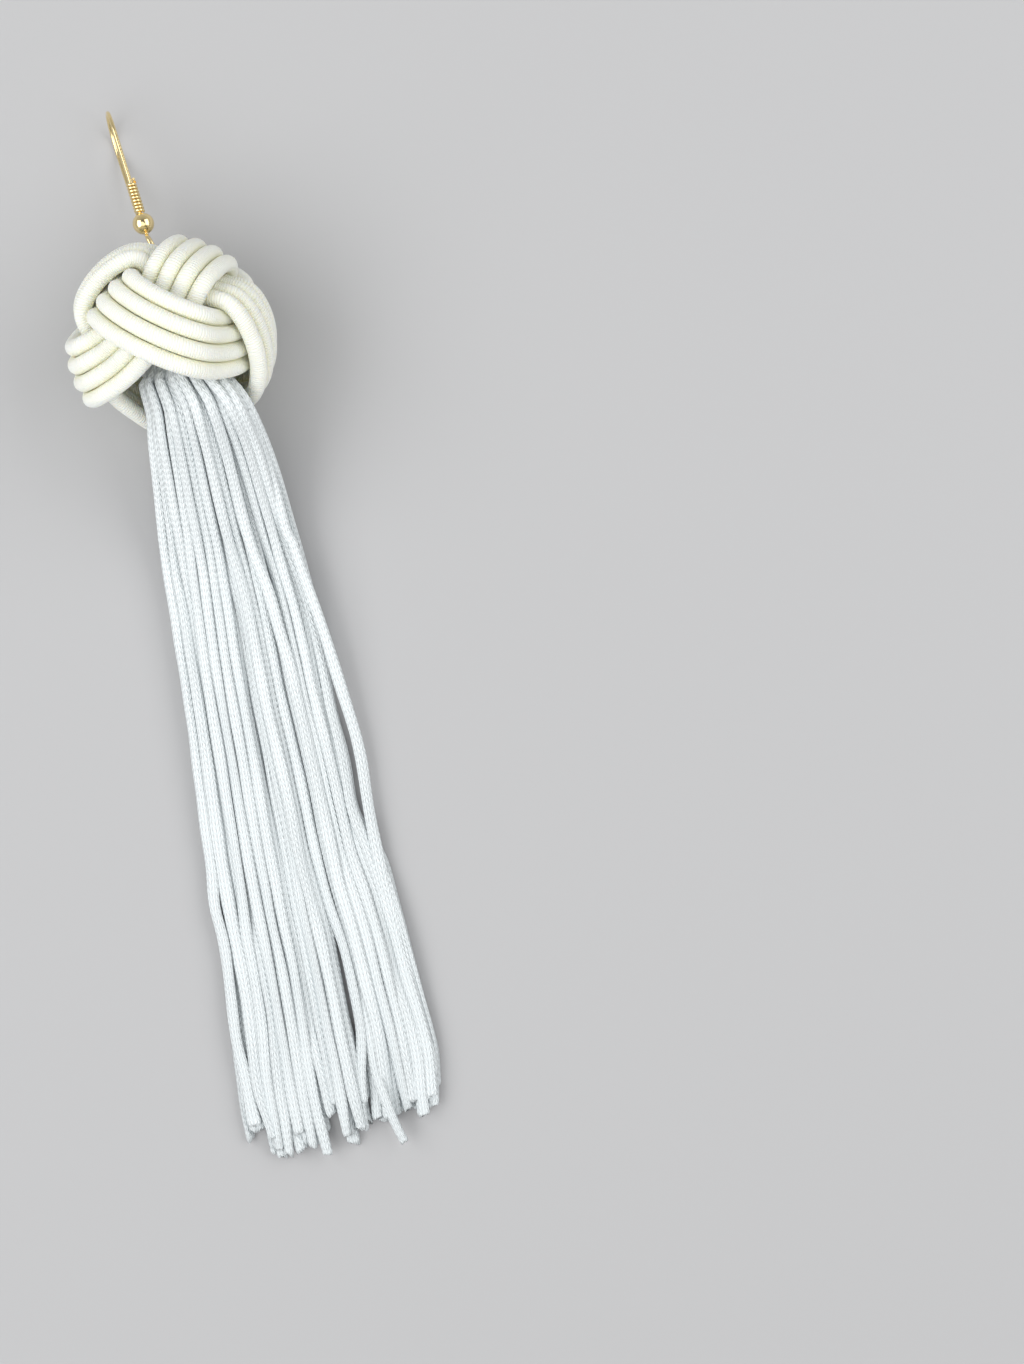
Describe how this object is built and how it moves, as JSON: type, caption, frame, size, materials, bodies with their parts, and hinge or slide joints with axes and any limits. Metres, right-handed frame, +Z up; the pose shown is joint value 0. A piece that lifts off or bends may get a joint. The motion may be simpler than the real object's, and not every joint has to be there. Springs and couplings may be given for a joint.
{
  "type": "tassel earring",
  "caption": "Drop earring: gilt fish-hook ear wire with bead and coil, ball knot of smooth cord wound in bundles, and a long flat tassel of soft knitted strands.",
  "frame": {"origin": "on the surface the earring lies on, under the middle of its box", "axes": "+Y from the tassel's tips to the ear wire's bow, +Z up from the surface, +X to the right as seen from above with the ear wire up"},
  "size_m": [0.0307, 0.16, 0.0306],
  "materials": {
    "gilt_wire": "bright polished, pale gilt",
    "gilt_bead": "bright polished, pale gilt",
    "loop_cord": "white twisted thread, satin",
    "knot_cord": "warm ivory thread wound closely round a core, satin",
    "tassel_strands": "cool white knitted tube of rayon, soft sheen"
  },
  "bodies": {
    "root": {"ear_hook": "gilt_wire", "hook_coil": "gilt_wire", "hook_bead": "gilt_bead", "jump_ring": "gilt_wire", "hanging_loop": "loop_cord", "knot_pass_1": "knot_cord", "knot_pass_2": "knot_cord", "knot_pass_3": "knot_cord", "knot_pass_4": "knot_cord", "tassel": "tassel_strands"}
  },
  "joints": []
}
